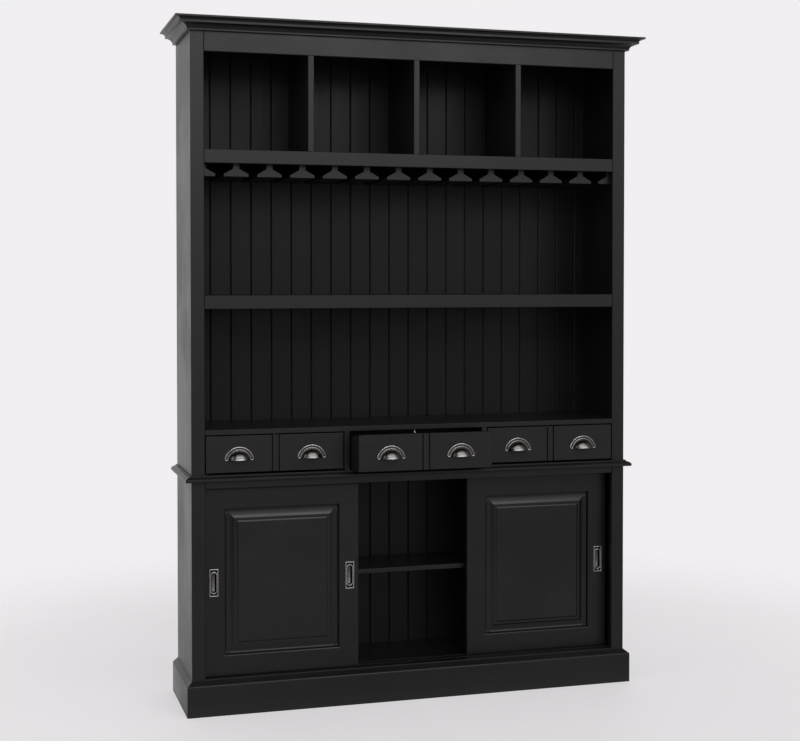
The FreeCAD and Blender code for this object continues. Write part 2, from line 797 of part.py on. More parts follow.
def build():
    """Every piece of the armoire under its node name."""
    nodes = {}
    for place, shape in plinth().items():
        nodes["plinth_" + place] = shape
    for place, shape in waist().items():
        nodes["waist_" + place] = shape
    for place, shape in cornice().items():
        nodes["cornice_" + place] = shape
    pairs = {
        "base_side": base_side(),
        "base_stile": stile(0, base_top_under),
        "hutch_side": hutch_side(),
        "hutch_stile": stile(base_height, case_top),
    }
    for name, shape in pairs.items():
        nodes[name + "_left"] = shape
        nodes[name + "_right"] = mirrored(shape)

    nodes["base_top_rail"] = face_rail(base_rail_under, base_top_under)
    nodes["base_top"] = box((-half, half), (0, body_depth), (base_top_under, base_height))
    nodes["base_bottom"] = base_bottom()
    nodes["door_track_bottom"] = floor_track()
    nodes["door_track_top"] = head_track()
    nodes["base_shelf"] = base_shelf()
    pins = [shelf_pin(y) for y in pin_places()]
    nodes["shelf_pins"] = group(*pins, *[mirrored(pin) for pin in pins])
    nodes["base_back_boards"] = back_boards(track_top - bottom_thick, base_top_under)

    nodes["hutch_top_rail"] = face_rail(top_rail_under, case_top)
    nodes["hutch_top"] = hutch_top()
    nodes["hutch_back_boards"] = back_boards(base_height, case_top)
    nodes["counter"] = counter()
    nodes["middle_shelf"] = housed_shelf(middle_shelf_top)
    nodes["middle_shelf_lip"] = face_rail(middle_shelf_top - lip_height, middle_shelf_top)
    nodes["niche_shelf"] = housed_shelf(niche_shelf_top)
    nodes["niche_shelf_lip"] = face_rail(niche_shelf_top - lip_height, niche_shelf_top)
    nodes["niche_dividers"] = niche_dividers()
    nodes["stemware_rails"] = rack()
    nodes["drawer_dividers"] = drawer_dividers()
    nodes["drawer_runners"] = drawer_runners()

    pull = cup_pull()
    for place, name in ((-1, "left"), (0, "middle"), (1, "right")):
        for piece, shape in drawer(place * drawer_pitch, pull).items():
            if name == "middle":
                shape.translate(V(0, -middle_drawer_out, 0))
            nodes["drawer_" + name + "_" + piece] = shape

    left_door = door(-stile_in + door_end_gap, front_door_face, (-1, 1))
    right_door = door(stile_in - door_end_gap - door_width, rear_door_face, (1,))
    for name, pieces in (("left", left_door), ("right", right_door)):
        for piece, shape in pieces.items():
            nodes["door_" + name + "_" + piece] = shape
    return nodes


def main():
    """Write one file for each node."""
    os.makedirs("parts", exist_ok=True)
    for name, shape in build().items():
        shape.exportStep("parts/" + name + ".step")


main()
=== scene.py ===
import json
import math

import bpy
from bpy.props import FloatProperty, FloatVectorProperty, IntProperty, PointerProperty
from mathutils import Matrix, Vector


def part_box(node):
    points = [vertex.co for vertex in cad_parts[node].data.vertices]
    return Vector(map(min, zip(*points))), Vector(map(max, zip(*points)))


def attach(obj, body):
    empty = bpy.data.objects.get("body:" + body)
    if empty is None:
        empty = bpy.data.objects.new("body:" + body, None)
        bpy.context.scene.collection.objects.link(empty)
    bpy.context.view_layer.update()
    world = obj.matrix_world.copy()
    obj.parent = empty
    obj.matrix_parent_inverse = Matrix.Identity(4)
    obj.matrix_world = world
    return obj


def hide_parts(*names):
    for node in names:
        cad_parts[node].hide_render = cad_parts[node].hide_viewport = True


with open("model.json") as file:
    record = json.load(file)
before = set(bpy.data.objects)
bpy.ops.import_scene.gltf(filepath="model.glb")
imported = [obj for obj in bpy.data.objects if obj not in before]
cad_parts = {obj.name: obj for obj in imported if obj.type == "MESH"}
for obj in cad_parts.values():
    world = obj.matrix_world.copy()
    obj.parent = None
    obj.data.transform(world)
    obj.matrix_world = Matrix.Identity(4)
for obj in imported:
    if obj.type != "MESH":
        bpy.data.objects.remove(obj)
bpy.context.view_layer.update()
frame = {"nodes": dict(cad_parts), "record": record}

bl_info = {
    "name": "Bar Armoire Finish",
    "version": (1, 0, 0),
    "blender": (4, 5, 0),
    "location": "View3D > Sidebar > Armoire",
    "description": "Dresses the bar armoire's solids with paint, pulls and screws on a studio stage",
    "category": "Object",
}

DRAWERS = ("drawer_left", "drawer_middle", "drawer_right")
DOORS = ("door_left", "door_right")


# Settings that a user would change

def length(label, description, default):
    return FloatProperty(name=label, description=description, default=default, min=0.0, unit="LENGTH",
                         precision=5)


def share(label, description, default):
    return FloatProperty(name=label, description=description, default=default, min=0.0, max=1.0,
                         subtype="FACTOR")


def colour(label, description, default):
    return FloatVectorProperty(name=label, description=description, default=default, size=4, min=0.0, max=1.0,
                               subtype="COLOR")


def power(label, description, default):
    return FloatProperty(name=label, description=description, default=default, min=0.0, subtype="POWER")


class ArmoirePaint(bpy.types.PropertyGroup):
    """The satin black paint on every board."""
    body: colour("Body", "Main colour of the paint", (0.0056, 0.0056, 0.0060, 1.0))
    streak: colour("Streak", "Lighter colour along the brush marks", (0.0105, 0.0105, 0.0110, 1.0))
    worn: colour("Worn", "Colour of the rubbed arrises", (0.055, 0.053, 0.051, 1.0))
    gloss: share("Gloss level", "Strength of the mirror reflection of the paint", 0.46)
    inner_gloss: share("Inner gloss level", "The same on the back boards, which have a duller coat", 0.23)
    panel_gloss: share("Panel gloss level", "The same on the raised panels, which are rubbed smoother", 0.56)
    roughness: share("Roughness", "Least roughness of the coat", 0.31)
    panel_roughness: share("Panel roughness", "The same on the raised panels", 0.20)
    brush: share("Brush marks", "Strength of the brush marks", 0.8)
    door_brush: share("Brush marks on doors", "The same on the doors, which are sprayed smoother", 0.3)
    arris: length("Arris", "Radius that rounds the board edges in the shading", 0.0014)
    fine_arris: length("Fine arris", "The same on the raised panels, whose mouldings are crisper", 0.0005)
    filled_arris: length("Filled arris", "The same on the door frames, whose joints are filled", 0.0)
    board: length("Board pitch", "Distance from one back board to the next", 0.0694)


class ArmoireMetal(bpy.types.PropertyGroup):
    """The antique metal of the pulls and screws, and the steel of pins and stops."""
    dark: colour("Dark", "Colour in the recesses", (0.035, 0.033, 0.031, 1.0))
    # the bright colour also paints the highlights on the cup and flush pulls
    bright: colour("Bright", "Colour of the parts that hands have polished", (0.74, 0.72, 0.695, 1.0))
    steel: colour("Steel", "Colour of the shelf pins", (0.50, 0.50, 0.49, 1.0))
    zinc: colour("Zinc", "Colour of the plated drawer stops", (0.86, 0.86, 0.85, 1.0))


class ArmoireCupPull(bpy.types.PropertyGroup):
    """Sizes of one cup pull, from its back plate."""
    plate: length("Plate", "Thickness of the back plate", 0.0020)
    bead: length("Bead", "Radius of the bead round the plate", 0.0019)
    ring: length("Ring", "Radius of the second, finer bead", 0.0013)
    ring_radius: length("Ring radius", "Distance of the second bead from the middle", 0.0376)
    dome_radius: length("Dome radius", "Half width of the cup", 0.0330)
    mouth: length("Mouth", "How far above the middle the cup ends", 0.0058)
    dome_stand: length("Dome stand", "How far the cup stands off the drawer", 0.0226)
    wall: length("Wall", "Thickness of the cup's metal", 0.0015)
    lip: length("Lip", "Radius of the rolled lip at the mouth", 0.0012)
    end_turn: FloatProperty(name="End turn", description="How far above the middle the plate's ends start",
                            default=math.radians(13.0), subtype="ANGLE", unit="ROTATION")
    steps: IntProperty(name="Steps", description="Flats in the half turn of the cup", default=48, min=12)


class ArmoireFlushPull(bpy.types.PropertyGroup):
    """Sizes of one flush pull, let into a door stile."""
    plate: length("Plate", "Thickness of the sunk field of the plate", 0.0008)
    rim: length("Rim", "Radius of the bead round the plate", 0.0020)
    ring: length("Ring", "Radius of the bead round the recess", 0.0014)
    recess_width: length("Recess width", "Width of the finger recess", 0.0170)
    recess_height: length("Recess height", "Height of the finger recess", 0.0650)
    depth: length("Depth", "Depth of the finger recess", 0.0085)
    hollow: length("Hollow", "Radius at the bottom of the recess", 0.0050)


class ArmoireScrew(bpy.types.PropertyGroup):
    """Sizes of one slotted screw head."""
    radius: length("Radius", "Radius of the head", 0.0024)
    rise: length("Rise", "Height of the head", 0.0009)
    slot: length("Slot", "Width of the slot", 0.0007)


class ArmoireStop(bpy.types.PropertyGroup):
    """Sizes of one drawer stop, a peg under the counter."""
    radius: length("Radius", "Radius of the peg", 0.0024)
    foot: length("Foot", "Radius of its thicker lower end", 0.0037)
    drop: length("Drop", "How far the peg hangs below the counter", 0.0145)
    inset: length("Inset", "How far the peg stands behind the counter's front edge", 0.0245)


class ArmoireStage(bpy.types.PropertyGroup):
    """Floor, lamps, surroundings and camera."""
    floor: colour("Floor", "Colour of the floor", (0.46, 0.45, 0.455, 1.0))
    floor_glow: share("Floor glow", "How much the floor is lifted towards white in the picture", 0.52)
    backdrop: colour("Backdrop", "Colour of the surroundings in the picture", (0.88, 0.86, 0.88, 1.0))
    fill: share("Fill", "Level of the even light from all round", 0.56)
    front_glow: share("Front glow", "Level of the surroundings in front, as reflections show them", 0.19)
    band_glow: share("Band glow", "Level of the pale band above eye height, as reflections show it", 1.0)
    key: power("Key lamp", "Power of the large soft lamp high in front", 56.0)
    side: power("Side lamp", "Power of the soft lamp on the left", 24.0)
    lens: FloatProperty(name="Lens", description="Focal length of the camera", default=65.83, unit="CAMERA")


# Small tools for shader nodes

def plug(tree, socket, value):
    """Links an output to the socket, or sets a plain value on it."""
    if isinstance(value, bpy.types.NodeSocket):
        tree.links.new(value, socket)
    else:
        socket.default_value = value


def add_node(tree, kind, inputs=(), **settings):
    """A new node with its settings, and with values or links on its inputs."""
    node = tree.nodes.new(kind)
    for name, value in settings.items():
        setattr(node, name, value)
    for name, value in dict(inputs).items():
        plug(tree, node.inputs[name], value)
    return node


def sum_up(tree, operation, first, second):
    """One step of arithmetic on two values."""
    node = add_node(tree, "ShaderNodeMath", operation=operation)
    plug(tree, node.inputs[0], first)
    plug(tree, node.inputs[1], second)
    return node.outputs["Value"]


def ramp(tree, value, low, high, start=0.0, end=1.0):
    """A smooth change from start to end while the value goes from low to high."""
    numbers = {"Value": value, "From Min": low, "From Max": high, "To Min": start, "To Max": end}
    return add_node(tree, "ShaderNodeMapRange", numbers, interpolation_type="SMOOTHSTEP").outputs["Result"]


def between(tree, amount, start, end):
    """A smooth change from start to end while the amount goes from 0 to 1."""
    return ramp(tree, amount, 0.0, 1.0, start, end)


def named(sockets, identifier):
    """The socket with this identifier, for nodes that repeat their labels."""
    return next(socket for socket in sockets if socket.identifier == identifier)


def blend(tree, amount, first, second, mode, ending):
    """A mix of two inputs, in the node's mode and on the sockets whose identifiers have this ending."""
    node = add_node(tree, "ShaderNodeMix", data_type=mode)
    plug(tree, named(node.inputs, "Factor_Float"), amount)
    plug(tree, named(node.inputs, "A_" + ending), first)
    plug(tree, named(node.inputs, "B_" + ending), second)
    return named(node.outputs, "Result_" + ending)


def blend_colours(tree, amount, first, second):
    return blend(tree, amount, first, second, "RGBA", "Color")


def blend_values(tree, amount, first, second):
    return blend(tree, amount, first, second, "FLOAT", "Float")


def noise(tree, place, scale, detail=4.0, roughness=0.6):
    values = {"Vector": place, "Scale": scale, "Detail": detail, "Roughness": roughness}
    return add_node(tree, "ShaderNodeTexNoise", values).outputs["Fac"]


def stretched(tree, place, scale):
    """The place with its axes scaled, so that a pattern runs long along the grain."""
    return add_node(tree, "ShaderNodeMapping", {"Vector": place, "Scale": scale}).outputs["Vector"]


def add_bump(tree, shader, strength, depth, height, **normal):
    """Lets a height disturb the shader's normal."""
    values = {"Strength": strength, "Distance": depth, "Height": height, **normal}
    bump = add_node(tree, "ShaderNodeBump", values)
    plug(tree, shader.inputs["Normal"], bump.outputs["Normal"])


def new_group(name, inputs, outputs):
    """An empty shader group with its sockets: the tree, what comes in and what goes out."""
    tree = bpy.data.node_groups.new(name, "ShaderNodeTree")
    for label, kind in inputs.items():
        tree.interface.new_socket(name=label, in_out="INPUT", socket_type="NodeSocket" + kind)
    for label, kind in outputs.items():
        tree.interface.new_socket(name=label, in_out="OUTPUT", socket_type="NodeSocket" + kind)
    return tree, tree.nodes.new("NodeGroupInput").outputs, tree.nodes.new("NodeGroupOutput").inputs


def place_group(tree, name, **values):
    """Puts a shared group into a material with its own values. The group is built when it is first needed."""
    group = bpy.data.node_groups.get(name) or SHARED_EFFECTS[name]()
    return add_node(tree, "ShaderNodeGroup", values, node_tree=group).outputs


def new_material(name):
    """A material with its shader, and the place on the piece that its patterns read."""
    material = bpy.data.materials.new(name)
    material.use_nodes = True
    tree = material.node_tree
    shader = tree.nodes["Principled BSDF"]
    place = add_node(tree, "ShaderNodeTexCoord").outputs["Object"]
    return material, tree, shader, place


def dress(piece, material):
    """Gives every slot of a piece the same material."""
    if not piece.material_slots:
        piece.data.materials.append(material)
    for slot in piece.material_slots:
        slot.material = material


# Effects that several finishes share

EDGE_SAMPLES = 6  # rays that round the shading at an edge
EDGE_LEAN = (0.02, 0.30)  # lean of the rounded normal where wear starts, and where it is full
RUB_SCALE = 45.0  # rubbed spots per metre
RUB_RANGE = (0.38, 0.66)  # noise at which the rubbed spots start, and are full
LEAST_RUB = 0.15  # wear that is left between the rubbed spots
BROAD_MARKS = 0.12  # scale of the broad brush marks beside the fine ones
STREAK_RANGE = (0.36, 0.64)  # noise at which the streaks start, and are full
CLOUD_RANGE = (0.3, 0.7)  # noise at which the patches start, and are full


def make_worn_edge():
    """Rounded normals near an edge, and a mask of the rubbed places there."""
    tree, given, made = new_group("worn_edge", {"Vector": "Vector", "Width": "Float"},
                                  {"Mask": "Float", "Normal": "Vector"})
    bevel = add_node(tree, "ShaderNodeBevel", {"Radius": given["Width"]}, samples=EDGE_SAMPLES)
    rounded = bevel.outputs["Normal"]
    flat = add_node(tree, "ShaderNodeNewGeometry").outputs["Normal"]
    alike = add_node(tree, "ShaderNodeVectorMath", operation="DOT_PRODUCT")
    plug(tree, alike.inputs[0], rounded)
    plug(tree, alike.inputs[1], flat)
    near = ramp(tree, sum_up(tree, "SUBTRACT", 1.0, alike.outputs["Value"]), *EDGE_LEAN)
    rubbed = ramp(tree, noise(tree, given["Vector"], RUB_SCALE), *RUB_RANGE, LEAST_RUB, 1.0)
    plug(tree, made["Mask"], sum_up(tree, "MULTIPLY", near, rubbed))
    plug(tree, made["Normal"], rounded)
    return tree


def make_brush_marks():
    """Fine and broad streaks along the grain, as colour mask and as height."""
    tree, given, made = new_group("brush_marks", {"Vector": "Vector"}, {"Streak": "Float", "Height": "Float"})
    fine = noise(tree, given["Vector"], 1.0)
    broad = noise(tree, given["Vector"], BROAD_MARKS, detail=3.0, roughness=0.55)
    average = sum_up(tree, "MULTIPLY", sum_up(tree, "ADD", fine, broad), 0.5)
    plug(tree, made["Streak"], ramp(tree, average, *STREAK_RANGE))
    plug(tree, made["Height"], fine)
    return tree


def make_cloud():
    """Slow, uneven patches, for a coat that is not the same all over."""
    tree, given, made = new_group("cloud", {"Vector": "Vector", "Scale": "Float"}, {"Patch": "Float"})
    uneven = noise(tree, given["Vector"], given["Scale"], detail=5.0)
    plug(tree, made["Patch"], ramp(tree, uneven, *CLOUD_RANGE))
    return tree


SHARED_EFFECTS = {"worn_edge": make_worn_edge, "brush_marks": make_brush_marks, "cloud": make_cloud}


# Paint

ACROSS, ALONG = 620.0, 7.0  # brush marks per metre across and along the grain
GRAIN = {
    "upright": (ACROSS, ACROSS, ALONG),
    "level": (ALONG, ACROSS, ACROSS),
    "deep": (ACROSS, ALONG, ACROSS),
}
UPRIGHT_WORDS = ("stile", "side_left", "side_right", "panel", "niche_dividers")
DEEP_WORDS = ("plinth_left", "plinth_right", "waist_left", "waist_right", "cornice_left", "cornice_right",
              "drawer_dividers", "drawer_runners", "stemware_rails", "_sides")
PAINT_PATCHES = 3.2  # patches of the coat per metre
STREAK_SHARE = (0.35, 0.9)  # how much the streaks show, from the calmest patch to the liveliest
BOARD_SHADE = 0.35  # how far one back board can differ from the next
WEAR = 0.30  # how far the rubbed arrises go to the worn colour
STREAK_ROUGH, PATCH_ROUGH = 0.08, 0.09  # roughness that streaks and patches add
BRUSH_BUMP, BRUSH_DEPTH = 0.12, 0.0004  # strength and depth of the brush marks in relief


def make_paint(name, grain, arris, gloss, brush, roughness, boards=False):
    """Satin black paint brushed along the grain. With boards, each back board has its own shade."""
    paint = bpy.context.scene.armoire_paint
    material, tree, shader, place = new_material(name)
    marks = place_group(tree, "brush_marks", Vector=stretched(tree, place, GRAIN[grain]))
    edge = place_group(tree, "worn_edge", Vector=place, Width=arris)
    patch = place_group(tree, "cloud", Vector=place, Scale=PAINT_PATCHES)["Patch"]
    least, most = STREAK_SHARE
    streak = sum_up(tree, "MULTIPLY", marks["Streak"], between(tree, patch, least * brush, most * brush))
    if boards:
        across = add_node(tree, "ShaderNodeSeparateXYZ", {"Vector": place}).outputs["X"]
        board = sum_up(tree, "FLOOR", sum_up(tree, "DIVIDE", across, paint.board), 0.0)
        shade = add_node(tree, "ShaderNodeTexWhiteNoise", {"W": board}, noise_dimensions="1D")
        lift = sum_up(tree, "MULTIPLY", shade.outputs["Value"], BOARD_SHADE)
        streak = sum_up(tree, "ADD", streak, lift)
    coat = blend_colours(tree, streak, tuple(paint.body), tuple(paint.streak))
    rubbed = sum_up(tree, "MULTIPLY", edge["Mask"], WEAR)
    plug(tree, shader.inputs["Base Color"], blend_colours(tree, rubbed, coat, tuple(paint.worn)))
    dull = sum_up(tree, "MULTIPLY", marks["Streak"], STREAK_ROUGH * brush)
    uneven = between(tree, patch, roughness, roughness + PATCH_ROUGH)
    plug(tree, shader.inputs["Roughness"], sum_up(tree, "ADD", dull, uneven))
    shader.inputs["Specular IOR Level"].default_value = gloss
    add_bump(tree, shader, BRUSH_BUMP * brush, BRUSH_DEPTH, marks["Height"], Normal=edge["Normal"])
    return material


def paint_of(node):
    """The painted finish whose brush marks follow the grain of this node's boards."""
    if "back_boards" in node:
        return "paint_back_boards"
    if node.startswith(DOORS):
        finishes = {"rails": "paint_door_level", "stiles": "paint_door_upright", "panel": "paint_panel"}
        return finishes[node.split("_")[-1]]
    if any(word in node for word in DEEP_WORDS):
        return "paint_deep"
    if any(word in node for word in UPRIGHT_WORDS):
        return "paint_upright"
    return "paint_level"


# Metals

ANTIQUE_ARRIS = 0.0012  # radius that rounds the pulls' edges in the shading
ANTIQUE_PATCHES = 110.0  # patches per metre
ANTIQUE_SHEEN = (0.88, 1.0)  # share of the polish that is left, from patch to patch
ANTIQUE_ROUGHNESS = (0.16, 0.24)
CAST_GRAIN, CAST_BUMP, CAST_DEPTH = 900.0, 0.05, 0.0002  # grains per metre, their strength and depth
TURNED_MARKS = (60.0, 2400.0, 2400.0)  # marks per metre along each axis, finest across a pin
STEEL_PATCHES = 90.0
STEEL_ROUGHNESS = (0.28, 0.42)
TURNED_BUMP, TURNED_DEPTH = 0.1, 0.0001  # strength and depth of the marks in relief
PIN_STAIN, STOP_STAIN = 0.5, 0.1  # how far patches of the shelf pins and drawer stops are darkened


def make_antique():
    """Antique metal: dark in the recesses, polished where it stands proud, and lighter where the pulls mark a
    painted highlight.
    """
    metal = bpy.context.scene.armoire_metal
    material, tree, shader, place = new_material("antique_pewter")
    edge = place_group(tree, "worn_edge", Vector=place, Width=ANTIQUE_ARRIS)
    patch = place_group(tree, "cloud", Vector=place, Scale=ANTIQUE_PATCHES)["Patch"]
    # the polish attribute holds real polish on the beads and painted highlights on the pulls
    marked_polish_and_highlight = add_node(tree, "ShaderNodeAttribute", attribute_name="polish").outputs["Fac"]
    wear_and_highlight = sum_up(tree, "MAXIMUM", marked_polish_and_highlight, edge["Mask"])
    bright_share = sum_up(tree, "MULTIPLY", wear_and_highlight, between(tree, patch, *ANTIQUE_SHEEN))
    plug(tree, shader.inputs["Base Color"], blend_colours(tree, bright_share, tuple(metal.dark), tuple(metal.bright)))
    plug(tree, shader.inputs["Roughness"], between(tree, patch, *ANTIQUE_ROUGHNESS))
    shader.inputs["Metallic"].default_value = 1.0
    grain = noise(tree, place, CAST_GRAIN, detail=2.0, roughness=0.5)
    add_bump(tree, shader, CAST_BUMP, CAST_DEPTH, grain, Normal=edge["Normal"])
    return material


def antique():
    """The antique metal, mixed when it is first needed."""
    return bpy.data.materials.get("antique_pewter") or make_antique()


def make_steel(name, bright_share, stained):
    """Turned steel with fine marks, stained in patches by the share given."""
    metal = bpy.context.scene.armoire_metal
    material, tree, shader, place = new_material(name)
    marks = place_group(tree, "brush_marks", Vector=stretched(tree, place, TURNED_MARKS))
    patch = place_group(tree, "cloud", Vector=place, Scale=STEEL_PATCHES)["Patch"]
    stain = sum_up(tree, "MULTIPLY", patch, stained)
    plug(tree, shader.inputs["Base Color"], blend_colours(tree, stain, tuple(bright_share), tuple(metal.dark)))
    plug(tree, shader.inputs["Roughness"], between(tree, marks["Streak"], *STEEL_ROUGHNESS))
    shader.inputs["Metallic"].default_value = 1.0
    add_bump(tree, shader, TURNED_BUMP, TURNED_DEPTH, marks["Height"])
    return material


# Small tools for modelling

FINE_WELD, WELD = 0.00001, 0.00002  # points closer than this are merged
SEED_SIZE = 0.001  # size of the plane that is merged into the first point of a chain
ROD_ROUNDNESS = 3  # bevel resolution of a rod's section


def start_fresh():
    """Leaves edit mode and deselects everything."""
    if bpy.context.object and bpy.context.object.mode != "OBJECT":
        bpy.ops.object.mode_set(mode="OBJECT")
    bpy.ops.object.select_all(action="DESELECT")


def pick(piece, *others):
    """Selects the pieces, with the first one active."""
    start_fresh()
    for each in (piece, *others):
        each.select_set(True)
    bpy.context.view_layer.objects.active = piece


def settle(piece):
    """Puts the piece's place, turn and scale into its mesh."""
    pick(piece)
    bpy.ops.object.transform_apply(location=True, rotation=True, scale=True)
    return piece


def weld(distance):
    """Merges the points of the mesh in edit mode that lie together."""
    bpy.ops.mesh.select_all(action="SELECT")
    bpy.ops.mesh.remove_doubles(threshold=distance)


def trace(name, points):
    """A chain of edges through the points, closed where it ends at its start, left selected in edit mode."""
    start_fresh()
    bpy.ops.mesh.primitive_plane_add(size=SEED_SIZE, location=points[0])
    piece = bpy.context.object
    piece.name = name
    bpy.ops.object.mode_set(mode="EDIT")
    bpy.ops.mesh.select_mode(type="VERT")
    bpy.ops.mesh.select_all(action="SELECT")
    bpy.ops.mesh.merge(type="CENTER")
    for here, there in zip(points, points[1:]):
        step = Vector(there) - Vector(here)
        bpy.ops.mesh.extrude_vertices_move(TRANSFORM_OT_translate={"value": step})
    weld(FINE_WELD)
    bpy.ops.mesh.select_all(action="SELECT")
    return piece


def slab(name, outline, thickness):
    """A flat plate with this outline, its back on the plane Y = 0, standing out towards the front."""
    piece = trace(name, outline)
    bpy.ops.mesh.edge_face_add()
    bpy.ops.mesh.extrude_region_move(TRANSFORM_OT_translate={"value": (0.0, -thickness, 0.0)})
    bpy.ops.mesh.select_all(action="SELECT")
    bpy.ops.mesh.normals_make_consistent(inside=False)
    return settle(piece)


def round_edges(piece, test, radius, segments):
    """Rounds the edges whose two ends pass the test."""
    pick(piece)
    bpy.ops.object.mode_set(mode="EDIT")
    bpy.ops.mesh.select_mode(type="EDGE")
    bpy.ops.mesh.select_all(action="DESELECT")
    bpy.ops.object.mode_set(mode="OBJECT")
    points = piece.data.vertices
    for edge in piece.data.edges:
        edge.select = all(test(points[index].co) for index in edge.vertices)
    bpy.ops.object.mode_set(mode="EDIT")
    bpy.ops.mesh.bevel(offset=radius, segments=segments)
    start_fresh()


def turn(name, outline, angle, steps):
    """A skin of revolution about the Y axis, from an outline of (radius, stand) pairs."""
    piece = trace(name, [(radius, -stand, 0.0) for radius, stand in outline])
    bpy.ops.mesh.spin(steps=steps, angle=angle, center=(0.0, 0.0, 0.0), axis=(0.0, 1.0, 0.0))
    weld(WELD)
    bpy.ops.mesh.normals_make_consistent(inside=False)
    return settle(piece)


def thicken(piece, thickness):
    """Gives a skin its wall, inwards from its face."""
    pick(piece)
    wall = piece.modifiers.new("wall", "SOLIDIFY")
    wall.thickness = thickness
    wall.offset = -1.0
    wall.use_even_offset = True
    bpy.ops.object.modifier_apply(modifier=wall.name)
    return piece


def rod(name, points, radius):
    """A round rod with closed ends along the points."""
    settle(trace(name, points))
    bpy.ops.object.convert(target="CURVE")
    line = bpy.context.object
    line.data.bevel_depth = radius
    line.data.bevel_resolution = ROD_ROUNDNESS
    line.data.use_fill_caps = True
    bpy.ops.object.convert(target="MESH")
    piece = bpy.context.object
    bpy.ops.object.mode_set(mode="EDIT")
    weld(FINE_WELD)
    bpy.ops.mesh.normals_make_consistent(inside=False)
    return settle(piece)


def combine(piece, tool, operation):
    """Unites the piece with the tool, or cuts it with it, and removes the tool."""
    pick(piece)
    step = piece.modifiers.new("combine", "BOOLEAN")
    step.operation = operation
    step.solver = "EXACT"
    step.object = tool
    bpy.ops.object.modifier_apply(modifier=step.name)
    bpy.ops.object.mode_set(mode="EDIT")
    bpy.ops.mesh.select_all(action="SELECT")
    bpy.ops.mesh.dissolve_degenerate(threshold=WELD)
    weld(WELD)
    remove(tool)
    return piece


def copy_to(piece, name, offset, angle=0.0):
    """A copy with its own mesh, turned about the Y axis and moved by the offset."""
    pick(piece)
    bpy.ops.object.duplicate(linked=False)
    twin = bpy.context.object
    twin.name = name
    twin.rotation_euler = (0.0, angle, 0.0)
    twin.location = offset
    return settle(twin)


def join_all(pieces, name):
    """One object of several, named."""
    pick(*pieces)
    if len(pieces) > 1:
        bpy.ops.object.join()
    joined = bpy.context.object
    joined.name = name
    joined.data.name = name
    return joined


def smooth(piece, angle):
    """Shades the piece smoothly over edges that bend less than the angle, in degrees."""
    pick(piece)
    bpy.ops.object.shade_smooth_by_angle(angle=math.radians(angle))
    return piece


def remove(piece):
    pick(piece)
    bpy.ops.object.delete()


def arc(radius, first, last, steps, stand=0.0, middle=(0.0, 0.0)):
    """Points of an arc in an upright plane that faces the front, angles from the right."""
    points = []
    for step in range(steps + 1):
        angle = first + (last - first) * step / steps
        points.append((middle[0] + radius * math.cos(angle), -stand, middle[1] + radius * math.sin(angle)))
    return points


# Cup pulls

SHOULDER = 0.0018  # the cup rises this far from its plate before it turns in
FULLNESS = 0.85  # power of the cup's section, where 1 is a plain oval
FOOT_FLARE, FOOT_STAND = 0.0022, 0.0004  # the cup's foot, past its half width and off the drawer
NECK_FLARE, NECK_RISE = 0.0008, 0.0006  # the neck above it, past the half width and off the plate
DOME_STEPS, LOBE_STEPS, BEAD_STEPS, LIP_STEPS = 14, 16, 12, 16  # flats in these curves
RING_OVERLAP = 0.04  # angle by which the ring's ends run into the bead
LIP_IN, LIP_BACK, LIP_UP = 0.9, 0.6, 0.86  # how far the lip lies inside the cup's edge, in lip radii
PROUD = 1.05  # in plate thicknesses: what stands out further belongs to a bead or the cup
RING_REACH = 1.3  # in ring radii: what lies further inside the ring belongs to no bead
CUP_MARGIN = 0.001  # what lies further past the cup's half width belongs to the plate
BEAD_POLISH, PLATE_POLISH = 0.8, 0.10
LEAST_POLISH, PAINTED_HIGHLIGHT = 0.05, 0.95  # of the cup, and the painted highlight added on its lip and lower front
HIGHLIGHT_RISE, HIGHLIGHT_WIDTH = 0.45, 0.70  # how far up and across the painted highlight reaches, in half widths of the cup
HIGHLIGHT_SHIFT = 0.002  # the painted highlight sits this far left of the middle


def dome_point(pull, angle):
    """Reach and stand of the cup's section, from its widest part (0) to its front (90 degrees)."""
    shoulder = pull.plate + SHOULDER
    reach = pull.dome_radius * max(0.0, math.cos(angle)) ** FULLNESS
    return reach, shoulder + (pull.dome_stand - shoulder) * math.sin(angle)


def dome_outline(pull):
    """Half the cup's section: a small flare at the foot, then a quarter of an oval."""
    foot = (pull.dome_radius + FOOT_FLARE, FOOT_STAND)
    neck = (pull.dome_radius + NECK_FLARE, pull.plate + NECK_RISE)
    quarter = [dome_point(pull, math.radians(90.0 * step / DOME_STEPS)) for step in range(DOME_STEPS)]
    return [foot, neck, *quarter, (0.0, pull.dome_stand)]


def mouth_line(pull):
    """Middle line of the rolled lip, just inside the cup, from its left foot over the front to its right."""
    last = math.acos((pull.mouth / pull.dome_radius) ** (1 / FULLNESS))
    level = pull.mouth + LIP_UP * pull.lip
    points = []
    for step in range(-LIP_STEPS, LIP_STEPS + 1):
        outward = abs(step) / LIP_STEPS
        reach, stand = dome_point(pull, last * (1.0 - outward))
        across = math.sqrt(max(0.0, reach ** 2 - pull.mouth ** 2)) - LIP_IN * pull.lip * outward
        points.append((math.copysign(across, step), LIP_BACK * pull.lip - stand, level))
    return points


def end_middles(pull, radius):
    """Middles of the plate's round left and right ends, as (across, up) from the middle of its arcs."""
    reach = (radius + pull.ring_radius - pull.ring) / 2
    across, up = reach * math.cos(pull.end_turn), reach * math.sin(pull.end_turn)
    return (-across, up), (across, up)


